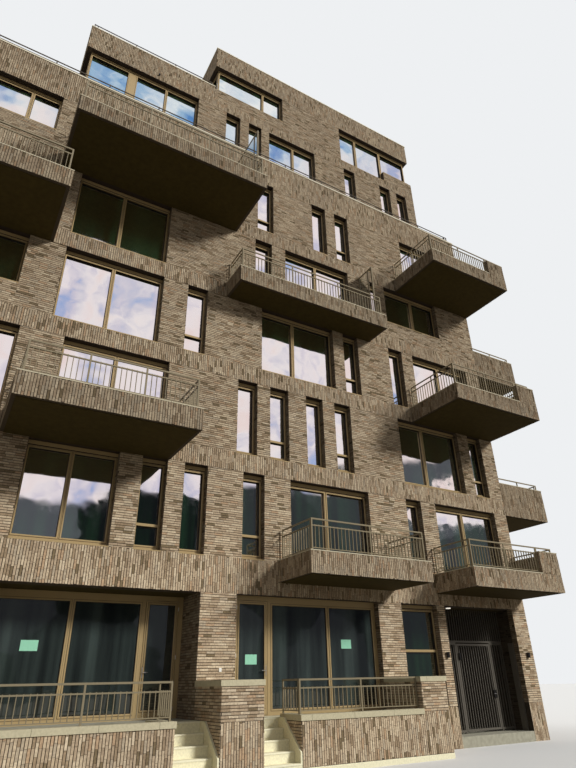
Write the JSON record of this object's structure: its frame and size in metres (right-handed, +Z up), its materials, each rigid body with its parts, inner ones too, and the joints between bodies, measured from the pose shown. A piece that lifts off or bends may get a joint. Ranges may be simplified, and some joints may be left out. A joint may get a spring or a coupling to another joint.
{
  "type": "apartment block",
  "caption": "Brick apartment block with projecting balconies, set-back top storeys, raised garden terraces and a barred passage gate.",
  "frame": {"origin": "on the ground under the street face of the front wall, halfway along it", "axes": "+Z up; +X to the right along the street front, as seen from the street; +Y into the building"},
  "size_m": [24.675, 14.425, 29.64],
  "materials": {
    "brick": "matt mixed tan, brown and grey fired brick",
    "concrete": "fair-faced precast concrete",
    "coping": "thin pale cappings",
    "roofing": "grey roof paving",
    "soffit": "dark olive-brown panel",
    "frame": "satin gold-bronze anodised",
    "glass": "clear double glazing",
    "railing": "bronze-brown powder coat",
    "gate_paint": "near-black powder coat"
  },
  "bodies": {
    "building": {"ground_floor": "concrete", "floor_slabs": "concrete", "roof_slabs": "roofing", "party_wall": "brick", "front_piers": "brick", "front_bands": "brick", "window_aprons": "brick", "side_piers": "brick", "side_bands": "brick", "rear_piers": "brick", "rear_bands": "brick", "inner_walls": "brick", "soffit_panels": "soffit", "upper_piers": "brick", "upper_bands": "brick", "parapets": "brick", "parapet_copings": "coping", "parapet_rails": "railing", "balcony_decks": "soffit", "balcony_fronts": "brick", "balcony_sides": "brick", "balcony_wings": "brick", "balcony_cappings": "coping", "balcony_rails": "railing", "balcony_side_rails": "railing", "privacy_screens": "railing", "front_frames": "frame", "front_glass": "glass", "side_and_rear_frames": "frame", "side_and_rear_glass": "glass", "garden_posts": "frame", "garden_rails": "frame", "garden_glass": "glass", "gate_screen": "gate_paint", "terrace_decks": "concrete", "terrace_walls": "brick", "terrace_copings": "concrete", "entrance_steps": "concrete", "terrace_rails": "railing", "lamps": "gate_paint"},
    "loggia_door_leaf": {"loggia_door": "frame", "loggia_door_glass": "glass"},
    "terrace_door_leaf": {"terrace_door": "frame", "terrace_door_glass": "glass"},
    "passage_gate": {"gate_leaf": "gate_paint"}
  },
  "joints": [
    {"name": "loggia_door_hinge", "type": "hinge", "parent": "building", "child": "loggia_door_leaf", "pos_m": [-1.198, 1.156, 1.087], "axis": [0, 0, 1], "range_deg": [0, 90]},
    {"name": "terrace_door_hinge", "type": "hinge", "parent": "building", "child": "terrace_door_leaf", "pos_m": [0.043, 0.186, 1.087], "axis": [0, 0, -1], "range_deg": [0, 90]},
    {"name": "passage_gate_hinge", "type": "hinge", "parent": "building", "child": "passage_gate", "pos_m": [8.271, 0.754, 0.33], "axis": [0, 0, 1], "range_deg": [0, 90]}
  ]
}
